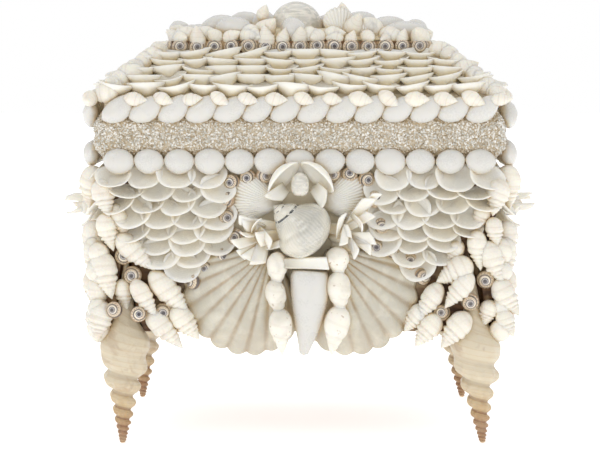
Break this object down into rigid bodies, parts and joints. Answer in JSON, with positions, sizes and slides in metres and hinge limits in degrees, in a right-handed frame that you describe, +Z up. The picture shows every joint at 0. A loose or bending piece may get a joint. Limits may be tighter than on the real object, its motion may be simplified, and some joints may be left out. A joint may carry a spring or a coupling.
{
  "type": "shell box",
  "caption": "Footed wooden casket with a lift-off hipped lid, dressed all over in white sea shells.",
  "frame": {"origin": "on the table under the middle of the box", "axes": "+X runs along the box to the right as one faces its front, -Y is the front, +Z is up"},
  "size_m": [0.38, 0.2697, 0.3398],
  "materials": {
    "wood": "stained softwood, dull",
    "crushed_shell": "rough crushed shell in glue",
    "leg_shell": "matt cream shell, tan in its seams",
    "white_shell": "smooth white shell, satin",
    "ivory_shell": "thin translucent ivory shell",
    "button_shell": "tan and grey-purple coiled shell",
    "pearl_shell": "silvery mother-of-pearl",
    "cream_shell": "ribbed cream shell with tan grooves",
    "spindle_shell": "white and faintly pink spindle shells"
  },
  "bodies": {
    "root": {"back_flower": "white_shell", "back_left_cups": "ivory_shell", "back_left_scallop": "cream_shell", "back_left_spindles": "spindle_shell", "back_right_cups": "ivory_shell", "back_right_scallop": "cream_shell", "back_right_spindles": "spindle_shell", "box": "wood", "box_back_ovals": "white_shell", "box_front_ovals": "white_shell", "box_grit_band": "crushed_shell", "box_left_ovals": "white_shell", "box_right_ovals": "white_shell", "front_band": "white_shell", "front_cone": "white_shell", "front_hood": "white_shell", "front_left_ark": "cream_shell", "front_left_bow": "white_shell", "front_left_cups": "ivory_shell", "front_left_scallop": "cream_shell", "front_left_spindles": "spindle_shell", "front_left_tassel": "white_shell", "front_pearl_drop": "pearl_shell", "front_right_ark": "cream_shell", "front_right_bow": "white_shell", "front_right_cups": "ivory_shell", "front_right_scallop": "cream_shell", "front_right_spindles": "spindle_shell", "front_right_tassel": "white_shell", "front_turban": "pearl_shell", "left_back_cups": "ivory_shell", "left_back_spindles": "spindle_shell", "left_flower": "white_shell", "left_front_cups": "ivory_shell", "left_front_spindles": "spindle_shell", "left_scallop": "cream_shell", "leg_back_left": "leg_shell", "leg_back_right": "leg_shell", "leg_front_left": "leg_shell", "leg_front_right": "leg_shell", "lid": "wood", "lid_back_cups": "ivory_shell", "lid_back_ovals": "white_shell", "lid_buttons": "button_shell", "lid_front_cups": "ivory_shell", "lid_front_ovals": "white_shell", "lid_grit_band": "crushed_shell", "lid_heap": "white_shell", "lid_left_cups": "ivory_shell", "lid_left_ovals": "white_shell", "lid_right_cups": "ivory_shell", "lid_right_ovals": "white_shell", "lid_top_pearl": "pearl_shell", "right_back_cups": "ivory_shell", "right_back_spindles": "spindle_shell", "right_flower": "white_shell", "right_front_cups": "ivory_shell", "right_front_spindles": "spindle_shell", "right_scallop": "cream_shell"}
  },
  "joints": []
}
